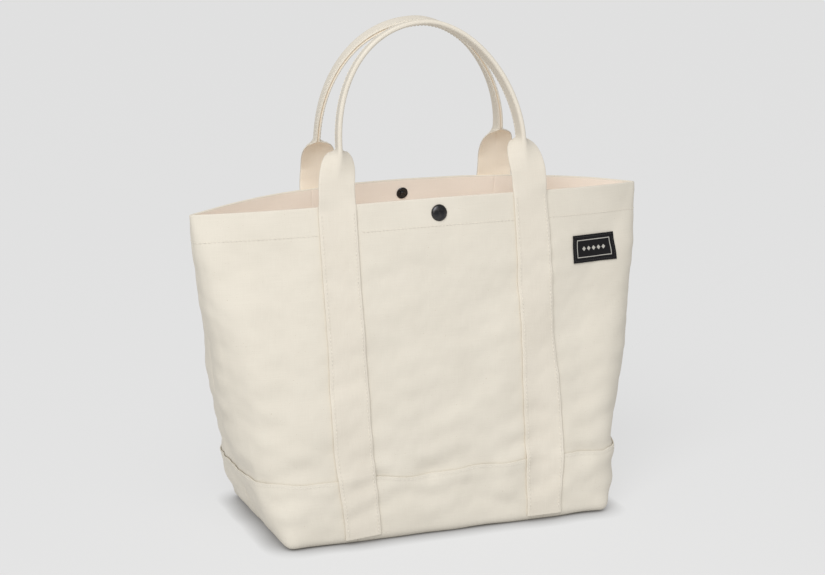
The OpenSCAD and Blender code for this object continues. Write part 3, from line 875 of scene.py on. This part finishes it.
thread, thread_shader, twist = new_finish("cotton_thread", roughness=0.8, sheen=0.1)
strand = twist.noise(twist.node("ShaderNodeTexCoord", output=3), (0.3 * MM, 0.3 * MM, 0.3 * MM))
join(strand.within(0.3, 0.7).tint((0.84, 0.80, 0.72, 1), (0.72, 0.67, 0.58, 1)),
     thread_shader, "Base Color")
join(twist.node("ShaderNodeBump", {}, {"Strength": 0.4, "Distance": 0.1 * MM, "Height": strand}),
     thread_shader, "Normal")

stitch_pitch = 4 * MM
stitch_length = 3.1 * MM
thread_radius = 0.36 * MM
stitch_rise = np.array([-0.25, 0.22, 0.34, 0.22, -0.25]) * MM
stitch_share = np.array([0, 0.2, 0.5, 0.8, 1])
thread_sides = 6
thread_turns = np.arange(thread_sides) * 2 * math.pi / thread_sides


def stitch_row(seam, start, stop, pitch=stitch_pitch, length=stitch_length):
    """Threads of one row of stitches. seam gives a point from a length along it and a lift."""
    first = np.arange(start + 0.4 * MM, stop - length, pitch)
    along = first[:, None] + length * stitch_share[None]
    middle = seam(along, stitch_rise)
    outward = seam(along, stitch_rise + 1 * MM) - middle
    outward /= np.linalg.norm(outward, axis=-1, keepdims=True)
    side = np.cross(np.gradient(middle, axis=1), outward)
    side /= np.linalg.norm(side, axis=-1, keepdims=True)
    spoke = np.cos(thread_turns)[:, None] * outward[..., None, :] \
        + np.sin(thread_turns)[:, None] * side[..., None, :]
    return middle[..., None, :] + thread_radius * spoke


def stitching(name, rows, nodes=(), finish=thread):
    """All the stitches of one piece, as one group of separate threads."""
    tubes = np.concatenate(rows)
    count, rings = tubes.shape[:2]
    last = (rings - 1) * thread_sides
    turn = np.arange(thread_sides)
    ring = np.arange(0, last, thread_sides)[:, None]
    near, far = ring + turn, ring + (turn + 1) % thread_sides
    tube = np.stack([near, near + thread_sides, far + thread_sides, far], -1).reshape(-1, 4)
    shift = np.arange(count)[:, None] * rings * thread_sides
    faces = (tube + shift[..., None]).reshape(-1, 4).tolist()
    faces += (turn + shift).tolist()
    faces += (last + turn[::-1] + shift).tolist()
    piece = add_mesh(name, tubes, faces, np.zeros((tubes.size // 3, 2)), finish)
    if nodes:
        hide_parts(*nodes)
    return piece


def level_seam(v, off, face, sign=1):
    """A seam that runs level round the bag, on the inside of the cloth if sign is -1."""
    def seam(u, lift):
        return skin(u, v, off + sign * lift, face)
    return seam


def band_seam(face):
    """The seam just under the base band's top edge."""
    def seam(u, lift):
        v = band_top(*base_edge(u, face)) - stitch_inset
        return skin(u, v, band_face + lift, face)
    return seam


def strap_seam(across, face):
    def seam(run, lift):
        return on_strap(run, across, half_thick + lift, face)
    return seam


between = strap_x - strap_width / 2 - 1 * MM
beyond = strap_x + strap_width / 2 + 1 * MM
hem_stitch = centre_height - hem_depth + stitch_inset
band_face = ply + canvas_thick - 0.35 * MM
strap_line_in = strap_width / 2 - stitch_inset
for side, face in (("front", front), ("back", back)):
    hem_seams = (level_seam(hem_stitch, canvas_thick, face), level_seam(hem_stitch, -ply, face, -1))
    rows = [stitch_row(seam, -between, between) for seam in hem_seams]
    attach(stitching(f"{side}_hem_thread", rows, [f"{side}_hem_stitching"]), wall_body(face))
    rows = [stitch_row(band_seam(face), -between, between)]
    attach(stitching(f"{side}_band_thread", rows, [f"{side}_band_stitching"]), wall_body(face))
    whole = strap_lines[face][2][-1]
    leg_end = run_at(-3 * MM, face, left)
    rows = [stitch_row(strap_seam(across, face), start, stop)
            for across in (-strap_line_in, strap_line_in)
            for start, stop in ((2 * MM, leg_end), (whole - leg_end, whole - 2 * MM))]
    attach(stitching(f"{side}_strap_thread", rows, [f"{side}_strap_stitching"]), wall_body(face))
    grip_start = run_at(52 * MM, face, left)
    rows = [stitch_row(strap_seam(across, face), grip_start, whole - grip_start)
            for across in (-strap_line_in, strap_line_in)]
    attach(stitching(f"{side}_handle_thread", rows), handle_body(face))

for name, hand, face in corners:
    reach = [half_width(s) + fold_depth(s) - 3 * MM for s in (hem_stitch / centre_height, 0.19)]
    rows = [stitch_row(level_seam(hem_stitch, off, face, sign),
                       *sorted((hand * beyond, hand * (reach[0] - short))))
            for off, sign, short in ((canvas_thick, 1, 0), (-ply, -1, 12 * MM))]
    rows.append(stitch_row(band_seam(face), *sorted((hand * beyond, hand * reach[1]))))
    nodes = [f"{name.split('_')[0]}_end_stitching"] if face == front else []
    corner_blend(stitching(f"{name}_thread", rows, nodes), hand, face)


def label_seam(height, mark):
    """A seam along the label, level if mark is None and upright at that place if it isn't."""
    def seam(along, lift):
        u, v = (along, height) if mark is None else (mark, along)
        return skin(u, v, ply + label_thick + lift, front)
    return seam


short_pitch = 2.8 * MM
short_stitch = 2.1 * MM
label_reach = [half - 2 * MM for half in half_label]
ends = [label_middle - label_reach[0], label_middle + label_reach[0]]
levels = [label_level - label_reach[1], label_level + label_reach[1]]
rows = [stitch_row(label_seam(level, None), *ends, short_pitch, short_stitch) for level in levels]
rows += [stitch_row(label_seam(None, end), *levels, short_pitch, short_stitch) for end in ends]
black_thread, black_shader, _ = new_finish("black_thread", roughness=0.7)
black_shader.inputs["Base Color"].default_value = (0.022, 0.021, 0.021, 1)
corner_blend(stitching("label_thread", rows, ["label_stitching"], black_thread), right, front)
